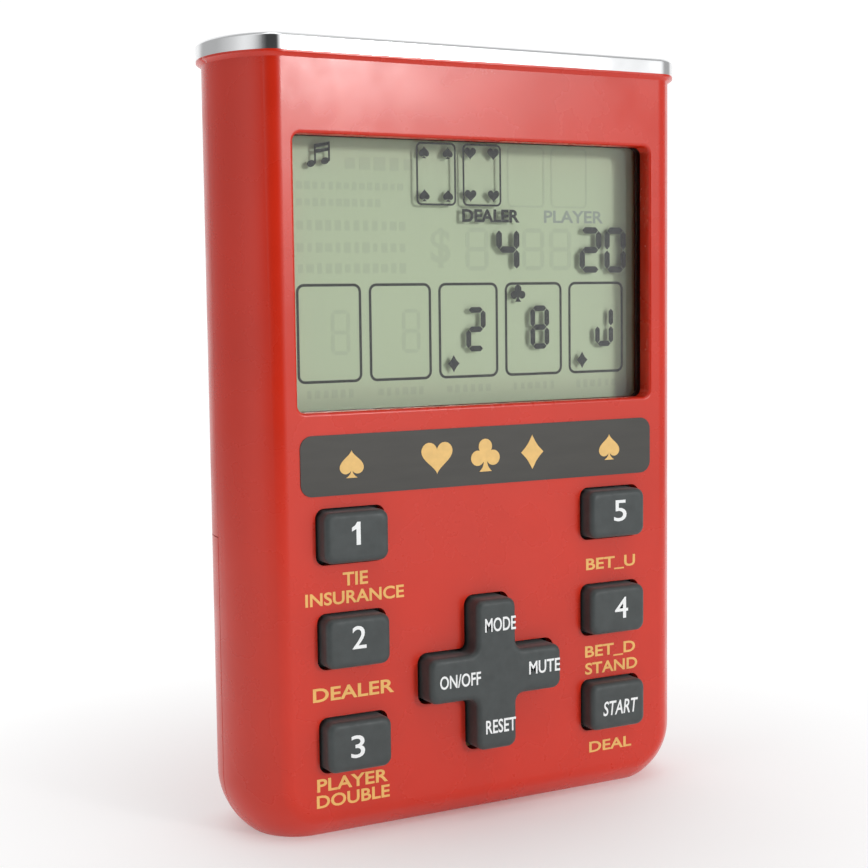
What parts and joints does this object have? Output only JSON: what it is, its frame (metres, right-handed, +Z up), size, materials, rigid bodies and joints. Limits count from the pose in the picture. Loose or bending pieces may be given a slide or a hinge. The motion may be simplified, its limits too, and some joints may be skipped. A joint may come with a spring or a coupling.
{
  "type": "handheld electronic card game",
  "caption": "Pocket electronic card game: upright plastic case with a display window, rubber number keys, a rocking cross key and a sliding battery door.",
  "frame": {"origin": "centre of the flat base, midway between the front and back faces", "axes": "+X to the right as the player sees it, +Y to the back, +Z up the long way; the display faces -Y"},
  "size_m": [0.0782, 0.0259, 0.1145],
  "materials": {
    "red_plastic": "satin moulded",
    "chrome_cap": "bright plated plastic",
    "label": "satin printed film",
    "clear_lens": "clear polished",
    "black_foam": "matte",
    "display_film": "clear film",
    "display_glass": "clear",
    "display_reflector": "fine grey-green",
    "white_foam": "matte",
    "conductive_rubber": "striped matte",
    "circuit_board": "phenolic laminate",
    "carbon": "matte",
    "chip_resin": "gloss resin",
    "crystal_can": "satin",
    "capacitor_sleeve": "satin sleeve",
    "resistor_body": "matte with bands",
    "screw_steel": "zinc plated",
    "key_rubber": "matte silicone",
    "pivot_plastic": "matte",
    "battery_jacket": "printed film",
    "contact_metal": "nickel plated",
    "sounder_brass": "plain",
    "sounder_ceramic": "silvered ceramic",
    "wire_red": "vinyl",
    "wire_black": "vinyl",
    "wire_yellow": "vinyl"
  },
  "bodies": {
    "case": {"front_cover": "red_plastic", "back_cover": "red_plastic", "top_cap": "chrome_cap", "name_label": "label", "window_lens": "clear_lens", "lens_gasket": "black_foam", "front_film": "display_film", "front_glass": "display_glass", "rear_glass": "display_glass", "reflector_film": "display_reflector", "display_pad": "white_foam", "zebra_strip": "conductive_rubber", "circuit_board": "circuit_board", "contact_pads": "carbon", "chip_blob": "chip_resin", "clock_crystal": "crystal_can", "capacitor_cans": "capacitor_sleeve", "resistors": "resistor_body", "board_screws": "screw_steel", "case_screws": "screw_steel", "keypad_web": "key_rubber", "dome_1": "key_rubber", "dome_2": "key_rubber", "dome_3": "key_rubber", "dome_4": "key_rubber", "dome_5": "key_rubber", "dome_start": "key_rubber", "cross_dome_up": "key_rubber", "cross_dome_down": "key_rubber", "cross_dome_left": "key_rubber", "cross_dome_right": "key_rubber", "battery_upper": "battery_jacket", "battery_lower": "battery_jacket", "battery_link": "contact_metal", "plus_terminal": "contact_metal", "minus_terminal": "contact_metal", "sounder_disc": "sounder_brass", "sounder_ceramic": "sounder_ceramic", "plus_wire": "wire_red", "minus_wire": "wire_black", "sounder_wires": "wire_yellow"},
    "battery_door": {"battery_door": "red_plastic"},
    "key_1": {"key_1": "key_rubber", "pill_1": "carbon"},
    "key_2": {"key_2": "key_rubber", "pill_2": "carbon"},
    "key_3": {"key_3": "key_rubber", "pill_3": "carbon"},
    "key_4": {"key_4": "key_rubber", "pill_4": "carbon"},
    "key_5": {"key_5": "key_rubber", "pill_5": "carbon"},
    "key_start": {"key_start": "key_rubber", "pill_start": "carbon"},
    "cross_pivot": {"cross_pivot": "pivot_plastic"},
    "cross_key": {"cross_key": "key_rubber", "cross_pills": "carbon"}
  },
  "joints": [
    {"name": "battery_door_slide", "type": "slide", "parent": "case", "child": "battery_door", "axis": [0, 0, -1], "range_m": [0, 0.006]},
    {"name": "key_1_press", "type": "slide", "parent": "case", "child": "key_1", "axis": [0, 1, 0], "range_m": [0, 0.001], "stiffness_N_per_m": 150, "springref_m": -0.0002, "deforming": ["dome_1"]},
    {"name": "key_2_press", "type": "slide", "parent": "case", "child": "key_2", "axis": [0, 1, 0], "range_m": [0, 0.001], "stiffness_N_per_m": 150, "springref_m": -0.0002, "deforming": ["dome_2"]},
    {"name": "key_3_press", "type": "slide", "parent": "case", "child": "key_3", "axis": [0, 1, 0], "range_m": [0, 0.001], "stiffness_N_per_m": 150, "springref_m": -0.0002, "deforming": ["dome_3"]},
    {"name": "key_4_press", "type": "slide", "parent": "case", "child": "key_4", "axis": [0, 1, 0], "range_m": [0, 0.001], "stiffness_N_per_m": 150, "springref_m": -0.0002, "deforming": ["dome_4"]},
    {"name": "key_5_press", "type": "slide", "parent": "case", "child": "key_5", "axis": [0, 1, 0], "range_m": [0, 0.001], "stiffness_N_per_m": 150, "springref_m": -0.0002, "deforming": ["dome_5"]},
    {"name": "key_start_press", "type": "slide", "parent": "case", "child": "key_start", "axis": [0, 1, 0], "range_m": [0, 0.001], "stiffness_N_per_m": 150, "springref_m": -0.0002, "deforming": ["dome_start"]},
    {"name": "cross_tilt_up_down", "type": "hinge", "parent": "case", "child": "cross_pivot", "pos_m": [0, -0.0066, 0.02187], "axis": [1, 0, 0], "range_deg": [-4, 4], "stiffness_Nm_per_rad": 0.02, "deforming": ["cross_dome_up", "cross_dome_down"]},
    {"name": "cross_tilt_left_right", "type": "hinge", "parent": "cross_pivot", "child": "cross_key", "pos_m": [0, -0.0066, 0.02187], "axis": [0, 0, 1], "range_deg": [-4, 4], "stiffness_Nm_per_rad": 0.02, "deforming": ["cross_dome_left", "cross_dome_right"]}
  ]
}
